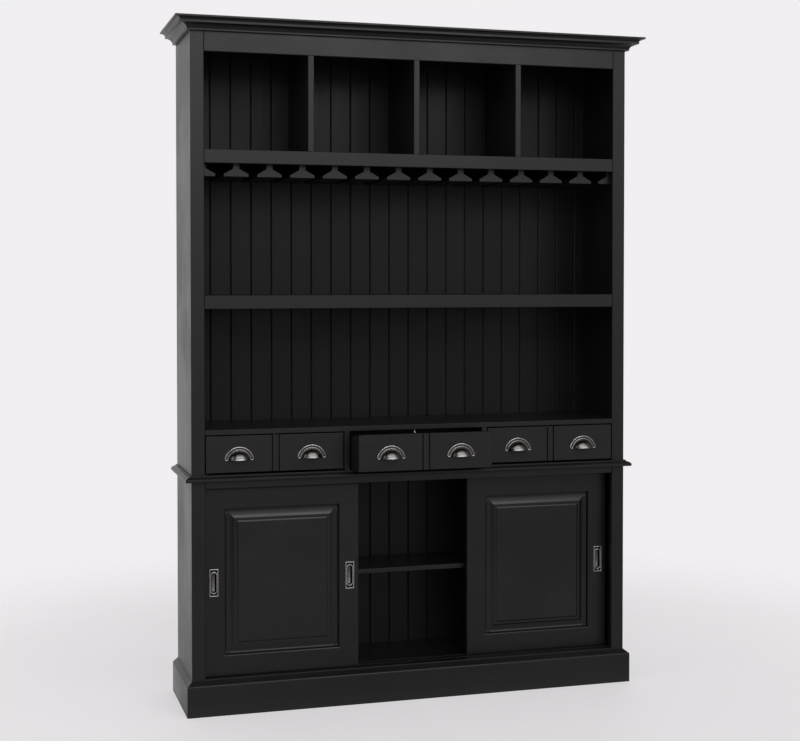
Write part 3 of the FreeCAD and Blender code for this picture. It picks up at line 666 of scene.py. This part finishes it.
def model_cup_pull(pull, radius):
    """One cup pull with its mouth down, the middle of its arcs at the origin, plate on the plane Y = 0."""
    start, end = pull.end_turn, math.pi - pull.end_turn
    left, right = end_middles(pull, radius)
    lobe = (radius - pull.ring_radius + pull.ring) / 2
    outline = arc(radius, start, end, pull.steps)
    outline += arc(lobe, end, end + math.pi, LOBE_STEPS, middle=left)[1:]
    outline += arc(pull.dome_radius, end, start, pull.steps)
    outline += arc(lobe, start + math.pi, start + 2 * math.pi, LOBE_STEPS, middle=right)[:-1]
    plate = slab("cup_plate", outline, pull.plate)
    edge = lobe - pull.bead
    rim = arc(edge, start + math.pi, start + 2 * math.pi, BEAD_STEPS, pull.plate, right)[:-1]
    rim += arc(radius - pull.bead, start, end, pull.steps, pull.plate)
    rim += arc(edge, end, end + math.pi, BEAD_STEPS, pull.plate, left)[1:]
    combine(plate, rod("cup_bead", rim, pull.bead), "UNION")
    ring = arc(pull.ring_radius, start - RING_OVERLAP, end + RING_OVERLAP, pull.steps, pull.plate)
    combine(plate, rod("cup_ring", ring, pull.ring), "UNION")
    dome = thicken(turn("cup_dome", dome_outline(pull), math.pi, pull.steps), pull.wall)
    start_fresh()
    bpy.ops.mesh.primitive_cube_add(size=2 * radius, location=(0.0, 0.0, pull.mouth - radius))
    combine(dome, bpy.context.object, "DIFFERENCE")
    combine(plate, dome, "UNION")
    combine(plate, rod("cup_lip", mouth_line(pull), pull.lip), "UNION")
    return smooth(plate, angle=32.0)


def mark_cup_polish_and_highlight(piece, pull):
    """Marks the beads as polished, and paints a highlight as lighter metal on the lip and the lower front of
    the cup.
    """
    polish = piece.data.attributes.new("polish", "FLOAT", "POINT")
    for vertex, value in zip(piece.data.vertices, polish.data):
        out = math.hypot(vertex.co.x, vertex.co.z)
        stand = -vertex.co.y
        if stand > pull.plate * PROUD and out > pull.ring_radius - RING_REACH * pull.ring:
            value.value = BEAD_POLISH
        elif out < pull.dome_radius + CUP_MARGIN and stand > pull.plate:
            # a painted highlight: lighter metal on the lip and lower front, fading upwards and to the sides
            above = max(0.0, vertex.co.z - pull.mouth - 2 * pull.lip)
            near_mouth = max(0.0, 1.0 - above / (HIGHLIGHT_RISE * pull.dome_radius)) ** 2
            middle = max(0.0, 1.0 - ((vertex.co.x + HIGHLIGHT_SHIFT) / (HIGHLIGHT_WIDTH * pull.dome_radius)) ** 2)
            value.value = LEAST_POLISH + PAINTED_HIGHLIGHT * near_mouth * middle
        else:
            value.value = PLATE_POLISH


def cup_pull_places():
    """Where each drawer's pulls sit, read from the solids they stand for. The level is their arcs' middle."""
    places = {}
    for drawer in DRAWERS:
        low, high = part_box(drawer + "_pulls")
        radius = high.z - low.z
        places[drawer] = {
            "radius": radius,
            "face": high.y,
            "level": low.z,
            "middles": (low.x + radius, high.x - radius),
        }
    return places


# Flush pulls

WALL_SHARE = 0.8  # thickness of the recess wall, in radii of the bead on it
BODY_RISE = 1.5  # the body is this much thicker than the recess is deep, in plate thicknesses
CUT_RISE = 3  # the cutter of the recess reaches this far past the back of the plate, in rim radii
RECESS_STEPS, HOLLOW_STEPS = 16, 6  # flats in a round end of the recess, and in its hollow
BOTTOM = 0.0001  # points of the cutter within this of its back are at the bottom of the recess
FLUSH_BEAD = 1.1  # in plate thicknesses: what stands out further belongs to a bead
FLUSH_FLOOR = 0.99  # in depths of the recess: what lies deeper belongs to its floor
BEAD_SHINE, FLOOR_SHINE, LOW_END_HIGHLIGHT = 1.0, 0.12, 0.60  # polish of the beads and the floor, and the painted highlight at the floor's low end


def oblong(half_width, half_height, stand=0.0):
    """Outline of an upright oblong with round ends, and its first point again at the end."""
    straight = half_height - half_width
    upper = arc(half_width, 0.0, math.pi, RECESS_STEPS, stand, (0.0, straight))
    lower = arc(half_width, math.pi, 2 * math.pi, RECESS_STEPS, stand, (0.0, -straight))
    return upper + lower + upper[:1]


def frame_outline(half_width, half_height, stand=0.0):
    """Outline of an upright rectangle, and its first point again at the end."""
    corners = ((1, -1), (1, 1), (-1, 1), (-1, -1), (1, -1))
    return [(x * half_width, -stand, z * half_height) for x, z in corners]


def model_flush_pull(pull, width, height):
    """One flush pull, middle of its plate at the origin, back of the plate on the plane Y = 0."""
    half_width, half_height = pull.recess_width / 2, pull.recess_height / 2
    wall = WALL_SHARE * pull.ring
    outside = (half_width + wall, half_height + wall)
    plate = slab("flush_plate", frame_outline(width / 2, height / 2)[:-1], pull.plate)
    body = slab("flush_body", oblong(*outside)[:-1], pull.depth + BODY_RISE * pull.plate)
    body.location.y = pull.depth + pull.plate
    combine(plate, settle(body), "UNION")
    rim = frame_outline(width / 2 - pull.rim, height / 2 - pull.rim, pull.plate)
    combine(plate, rod("flush_rim", rim, pull.rim), "UNION")
    combine(plate, rod("flush_ring", oblong(*outside, pull.plate), pull.ring), "UNION")
    recess = slab("flush_recess", oblong(half_width, half_height)[:-1], pull.depth + CUT_RISE * pull.rim)
    round_edges(recess, lambda place: abs(place.y) < BOTTOM, pull.hollow, HOLLOW_STEPS)
    recess.location.y = pull.depth
    combine(plate, settle(recess), "DIFFERENCE")
    return smooth(plate, angle=35.0)


def mark_flush_polish_and_highlight(piece, pull):
    """Marks the beads as polished, the bottom of the recess as partly so, and paints a highlight at its lower
    end.
    """
    polish = piece.data.attributes.new("polish", "FLOAT", "POINT")
    low_end = pull.recess_width / 2 - pull.recess_height / 2
    for vertex, value in zip(piece.data.vertices, polish.data):
        if vertex.co.y < -FLUSH_BEAD * pull.plate:
            value.value = BEAD_SHINE
        elif vertex.co.y > FLUSH_FLOOR * pull.depth:
            # the low end of the floor gets a painted highlight
            value.value = LOW_END_HIGHLIGHT if vertex.co.z < low_end else FLOOR_SHINE
        else:
            value.value = 0.0


def flush_pull_places():
    """The size of a flush pull, and where each door has one, read from the solids they stand for."""
    low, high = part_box("door_right_pulls")
    width, height = high.x - low.x, high.z - low.z
    places = {"size": (width, height)}
    for door in DOORS:
        low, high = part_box(door + "_pulls")
        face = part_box(door + "_stiles")[0].y
        middles = sorted({round(low.x + width / 2, 4), round(high.x - width / 2, 4)})
        places[door] = [(x, face, (low.z + high.z) / 2) for x in middles]
    return places


# Screws and drawer stops

SCREW_STEPS, ROUND_SIDES = 6, 24  # flats from a screw's middle to its edge, and round a screw or a peg
SCREW_SINK, STOP_SINK = 0.0004, 0.0005  # how far they reach into what carries them
SLOT_LENGTH, SLOT_DEPTH = 3, 1.1  # of the slot's cutter, in radii and in rises of the head
SLOT_TURN = 0.7  # each slot is turned this much further than the last one, in radians
SHANK_END, FLARE_START, FLARE_END = 0.45, 0.55, 0.88  # shares of the peg's drop
FOOT_END = 0.8  # radius of the foot's lower face, as a share of the foot's


def model_screw(size):
    """A low round head with a slot, its seat on the plane Y = 0."""
    outline = [(0.0, size.rise)]
    for step in range(1, SCREW_STEPS + 1):
        angle = math.radians(90.0 * step / SCREW_STEPS)
        outline.append((size.radius * math.sin(angle), size.rise * math.cos(angle)))
    outline += [(size.radius, -SCREW_SINK), (0.0, -SCREW_SINK)]
    head = turn("screw_head", outline, 2 * math.pi, ROUND_SIDES)
    start_fresh()
    bpy.ops.mesh.primitive_cube_add(size=1.0, location=(0.0, -size.rise, 0.0))
    cutter = bpy.context.object
    cutter.scale = (size.radius * SLOT_LENGTH, size.rise * SLOT_DEPTH, size.slot)
    combine(head, settle(cutter), "DIFFERENCE")
    return smooth(head, angle=30.0)


def screw_places(cup, flush):
    """Where each drawer and each door has its screws: in the ends of the cup pulls and of the flush pulls."""
    places = {}
    for drawer, spot in cup_pull_places().items():
        ends = end_middles(cup, spot["radius"])
        face = spot["face"] - cup.plate
        places[drawer] = [(x + across, face, spot["level"] + up)
                          for x in spot["middles"] for across, up in ends]
    pulls = flush_pull_places()
    reach = (pulls["size"][1] + flush.recess_height) / 4
    for door in DOORS:
        places[door] = [(x, face - flush.plate, middle + way * reach)
                        for x, face, middle in pulls[door] for way in (-1, 1)]
    return places


def model_stop(stop):
    """One peg with a thicker lower end, hanging from the origin."""
    outline = [(0.0, -STOP_SINK), (stop.radius, -STOP_SINK), (stop.radius, SHANK_END * stop.drop),
               (stop.radius, FLARE_START * stop.drop), (stop.foot, FLARE_END * stop.drop),
               (FOOT_END * stop.foot, stop.drop), (0.0, stop.drop)]
    peg = turn("stop_peg", outline, 2 * math.pi, ROUND_SIDES)
    peg.rotation_euler = (math.pi / 2, 0.0, 0.0)
    return smooth(settle(peg), angle=30.0)


# Stage

FLOOR_RADIUS, FLOOR_SIDES = 6.0, 96
FLOOR_FADE = (1.1, 3.0)  # distances from the middle at which the floor starts to fade, and is gone
FLOOR_PATCHES, FLOOR_LIFT = 1.4, 1.04  # patches per metre, and how much paler the palest is
FLOOR_ROUGHNESS = (0.55, 0.7)
GLOW_START, GLOW_FULL = -0.3, 0.3  # from front to back, reflections come to show the floor's glow
BEHIND, BEHIND_GLOW = (-0.6, 0.4), 0.9  # headings from front to back, and the level behind
BAND_RISE, BAND_LEFT, BAND_RIGHT = (-0.34, 0.16), (-0.45, -0.05), (0.50, 0.85)  # edges of the pale band
CEILING, CEILING_GLOW = (0.50, 0.80), 0.06  # headings up to the ceiling, and the share of glow left there
LAMPS = {
    "key": {"size": (4.4, 2.6), "place": (0.1, -3.4, 3.7), "target": (0.0, 0.1, 1.4)},
    "side": {"size": (2.4, 3.0), "place": (-4.2, -1.2, 2.2), "target": (-0.6, 0.1, 1.2)},
}
CAMERA_PLACE = (-1.4169, -4.5828, 1.380)
CAMERA_TURN, CAMERA_TIP = math.radians(-16.518), math.radians(-1.368)
CAMERA_SENSOR, CAMERA_SHIFT = 36.0, -0.07


def add_floor(stage):
    """A wide pale floor that fades into the surroundings."""
    start_fresh()
    bpy.ops.mesh.primitive_circle_add(vertices=FLOOR_SIDES, radius=FLOOR_RADIUS, fill_type="NGON")
    floor = bpy.context.object
    floor.name = "studio_floor"
    material, tree, shader, place = new_material("pale_floor")
    patch = place_group(tree, "cloud", Vector=place, Scale=FLOOR_PATCHES)["Patch"]
    paler = tuple(min(1.0, part * FLOOR_LIFT) for part in stage.floor[:3]) + (1.0,)
    plug(tree, shader.inputs["Base Color"], blend_colours(tree, patch, tuple(stage.floor), paler))
    plug(tree, shader.inputs["Roughness"], between(tree, patch, *FLOOR_ROUGHNESS))
    away = add_node(tree, "ShaderNodeVectorMath", {"Vector": place}, operation="LENGTH").outputs["Value"]
    plug(tree, shader.inputs["Alpha"], ramp(tree, away, *FLOOR_FADE, 1.0, 0.0))
    path = add_node(tree, "ShaderNodeLightPath").outputs
    along = add_node(tree, "ShaderNodeSeparateXYZ", {"Vector": place}).outputs["Y"]
    mirrored = sum_up(tree, "MULTIPLY", path["Is Glossy Ray"], ramp(tree, along, GLOW_START, GLOW_FULL))
    seen = sum_up(tree, "MAXIMUM", path["Is Camera Ray"], mirrored)
    shader.inputs["Emission Color"].default_value = tuple(stage.backdrop)
    plug(tree, shader.inputs["Emission Strength"], sum_up(tree, "MULTIPLY", seen, stage.floor_glow))
    dress(floor, material)


def add_surroundings(stage):
    """Pale surroundings in the picture, shaped in reflections and softer as light."""
    world = bpy.data.worlds.new("studio")
    bpy.context.scene.world = world
    world.use_nodes = True
    tree = world.node_tree
    tree.nodes.clear()
    path = add_node(tree, "ShaderNodeLightPath").outputs
    direct = sum_up(tree, "MAXIMUM", path["Is Camera Ray"], path["Is Transmission Ray"])
    heading = add_node(tree, "ShaderNodeTexCoord").outputs["Generated"]
    parts = add_node(tree, "ShaderNodeSeparateXYZ", {"Vector": heading}).outputs
    behind = ramp(tree, parts["Y"], *BEHIND, stage.front_glow, BEHIND_GLOW)
    rising = ramp(tree, parts["Z"], *BAND_RISE, 0.0, stage.band_glow)
    left = ramp(tree, parts["X"], *BAND_LEFT)
    right = ramp(tree, parts["X"], *BAND_RIGHT, 1.0, 0.0)
    band = sum_up(tree, "MULTIPLY", rising, sum_up(tree, "MULTIPLY", left, right))
    ceiling = ramp(tree, parts["Z"], *CEILING, 1.0, CEILING_GLOW)
    glossy = sum_up(tree, "MULTIPLY", sum_up(tree, "MAXIMUM", behind, band), ceiling)
    mirrored = blend_values(tree, path["Is Glossy Ray"], stage.fill, glossy)
    strength = blend_values(tree, direct, mirrored, 1.0)
    light = add_node(tree, "ShaderNodeBackground", {"Color": tuple(stage.backdrop), "Strength": strength})
    out = add_node(tree, "ShaderNodeOutputWorld")
    tree.links.new(light.outputs["Background"], out.inputs["Surface"])


def add_lamp(name, watts, size, place, target):
    """A soft rectangular lamp that looks at the target."""
    start_fresh()
    bpy.ops.object.light_add(type="AREA", location=place)
    lamp = bpy.context.object
    lamp.name = name
    lamp.data.shape = "RECTANGLE"
    lamp.data.size, lamp.data.size_y = size
    lamp.data.energy = watts
    lamp.rotation_euler = (Vector(target) - lamp.location).to_track_quat("-Z", "Y").to_euler()


def add_camera(stage):
    """The camera where the picture was taken: left of the middle, at eye height, looking slightly down."""
    start_fresh()
    bpy.ops.object.camera_add(location=CAMERA_PLACE, rotation=(math.pi / 2 + CAMERA_TIP, 0.0, CAMERA_TURN))
    camera = bpy.context.object
    camera.name = "picture_camera"
    camera.data.lens = stage.lens
    camera.data.sensor_width = CAMERA_SENSOR
    camera.data.shift_y = CAMERA_SHIFT
    bpy.context.scene.camera = camera


# Operators, one for each group of like pieces and one for the stage

class ARMOIRE_OT_paint(bpy.types.Operator):
    """Paint every board, with the brush marks along its grain"""
    bl_idname = "armoire.paint"
    bl_label = "Paint the boards"

    def execute(self, context):
        paint = context.scene.armoire_paint
        for grain in GRAIN:
            make_paint("paint_" + grain, grain, paint.arris, paint.gloss, paint.brush, paint.roughness)
        for grain in ("upright", "level"):
            make_paint("paint_door_" + grain, grain, paint.filled_arris, paint.gloss, paint.door_brush,
                       paint.roughness)
        make_paint("paint_panel", "upright", paint.fine_arris, paint.panel_gloss, paint.door_brush,
                   paint.panel_roughness)
        make_paint("paint_back_boards", "upright", paint.arris, paint.inner_gloss, paint.brush,
                   paint.roughness, boards=True)
        slots = {part["node"]: part["material_slot"] for part in frame["record"]["subparts"]}
        for node, piece in frame["nodes"].items():
            if slots[node] == "black_paint":
                dress(piece, bpy.data.materials[paint_of(node)])
        return {"FINISHED"}


class ARMOIRE_OT_shelf_pins(bpy.types.Operator):
    """Give the shelf pins their turned steel"""
    bl_idname = "armoire.shelf_pins"
    bl_label = "Shelf pins"

    def execute(self, context):
        steel = make_steel("turned_steel", context.scene.armoire_metal.steel, PIN_STAIN)
        dress(frame["nodes"]["shelf_pins"], steel)
        return {"FINISHED"}


class ARMOIRE_OT_cup_pulls(bpy.types.Operator):
    """Model the cup pulls and put two on each drawer"""
    bl_idname = "armoire.cup_pulls"
    bl_label = "Cup pulls"

    def execute(self, context):
        pull = context.scene.armoire_cup_pull
        places = cup_pull_places()
        model = model_cup_pull(pull, places[DRAWERS[0]]["radius"])
        mark_cup_polish_and_highlight(model, pull)
        dress(model, antique())
        for drawer in DRAWERS:
            spot = places[drawer]
            pair = [copy_to(model, "cup_copy", (x, spot["face"], spot["level"])) for x in spot["middles"]]
            pulls = join_all(pair, drawer + "_cup_pulls")
            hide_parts(drawer + "_pulls")
            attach(pulls, drawer)
        remove(model)
        return {"FINISHED"}


class ARMOIRE_OT_flush_pulls(bpy.types.Operator):
    """Model the flush pulls and let them into the door stiles"""
    bl_idname = "armoire.flush_pulls"
    bl_label = "Flush pulls"

    def execute(self, context):
        pull = context.scene.armoire_flush_pull
        places = flush_pull_places()
        model = model_flush_pull(pull, *places["size"])
        mark_flush_polish_and_highlight(model, pull)
        dress(model, antique())
        for door in DOORS:
            copies = [copy_to(model, "flush_copy", spot) for spot in places[door]]
            pulls = join_all(copies, door + "_flush_pulls")
            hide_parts(door + "_pulls")
            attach(pulls, door)
        remove(model)
        return {"FINISHED"}


class ARMOIRE_OT_screws(bpy.types.Operator):
    """Put slotted screws into the cup pulls and the flush pulls"""
    bl_idname = "armoire.screws"
    bl_label = "Screws"

    def execute(self, context):
        scene = context.scene
        model = model_screw(scene.armoire_screw)
        dress(model, antique())
        count = 0
        for body, spots in screw_places(scene.armoire_cup_pull, scene.armoire_flush_pull).items():
            heads = []
            for spot in spots:
                count += 1
                heads.append(copy_to(model, "head", spot, SLOT_TURN * count))
            screws = join_all(heads, body + "_screws")
            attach(screws, body)
        remove(model)
        return {"FINISHED"}


class ARMOIRE_OT_drawer_stops(bpy.types.Operator):
    """Hang a stop peg from the counter above each drawer"""
    bl_idname = "armoire.drawer_stops"
    bl_label = "Drawer stops"

    def execute(self, context):
        stop = context.scene.armoire_stop
        model = model_stop(stop)
        dress(model, make_steel("zinc_plate", context.scene.armoire_metal.zinc, STOP_STAIN))
        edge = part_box("counter")[0]
        pegs = []
        for drawer in DRAWERS:
            low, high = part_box(drawer + "_front")
            pegs.append(copy_to(model, "peg", ((low.x + high.x) / 2, edge.y + stop.inset, edge.z)))
        stops = join_all(pegs, "drawer_stops")
        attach(stops, "carcass")
        remove(model)
        return {"FINISHED"}


class ARMOIRE_OT_stage(bpy.types.Operator):
    """Set up the floor, the lamps, the surroundings and the camera"""
    bl_idname = "armoire.stage"
    bl_label = "Studio stage"

    def execute(self, context):
        stage = context.scene.armoire_stage
        add_floor(stage)
        add_surroundings(stage)
        for name, lamp in LAMPS.items():
            add_lamp(name + "_lamp", getattr(stage, name), **lamp)
        add_camera(stage)
        context.scene.view_settings.view_transform = "Standard"
        return {"FINISHED"}


# Sidebar and registration

class ARMOIRE_PT_sidebar(bpy.types.Panel):
    """Steps that dress the armoire, and their settings"""
    bl_idname = "ARMOIRE_PT_sidebar"
    bl_label = "Bar armoire"
    bl_space_type = "VIEW_3D"
    bl_region_type = "UI"
    bl_category = "Armoire"

    def draw(self, context):
        for step in OPERATORS:
            self.layout.operator(step.bl_idname)
        for name in SETTINGS:
            group = getattr(context.scene, name)
            box = self.layout.box()
            for key in group.__annotations__:
                box.prop(group, key)


SETTINGS = {
    "armoire_paint": ArmoirePaint,
    "armoire_metal": ArmoireMetal,
    "armoire_cup_pull": ArmoireCupPull,
    "armoire_flush_pull": ArmoireFlushPull,
    "armoire_screw": ArmoireScrew,
    "armoire_stop": ArmoireStop,
    "armoire_stage": ArmoireStage,
}
OPERATORS = (ARMOIRE_OT_paint, ARMOIRE_OT_shelf_pins, ARMOIRE_OT_cup_pulls, ARMOIRE_OT_flush_pulls,
             ARMOIRE_OT_screws, ARMOIRE_OT_drawer_stops, ARMOIRE_OT_stage)
CLASSES = (*SETTINGS.values(), *OPERATORS, ARMOIRE_PT_sidebar)


def register():
    for kind in CLASSES:
        bpy.utils.register_class(kind)
    for name, kind in SETTINGS.items():
        setattr(bpy.types.Scene, name, PointerProperty(type=kind))


def unregister():
    for name in SETTINGS:
        delattr(bpy.types.Scene, name)
    for kind in reversed(CLASSES):
        bpy.utils.unregister_class(kind)


def main():
    register()
    bpy.ops.armoire.paint()
    bpy.ops.armoire.shelf_pins()
    bpy.ops.armoire.cup_pulls()
    bpy.ops.armoire.flush_pulls()
    bpy.ops.armoire.screws()
    bpy.ops.armoire.drawer_stops()
    bpy.ops.armoire.stage()


if __name__ == "__main__":
    main()
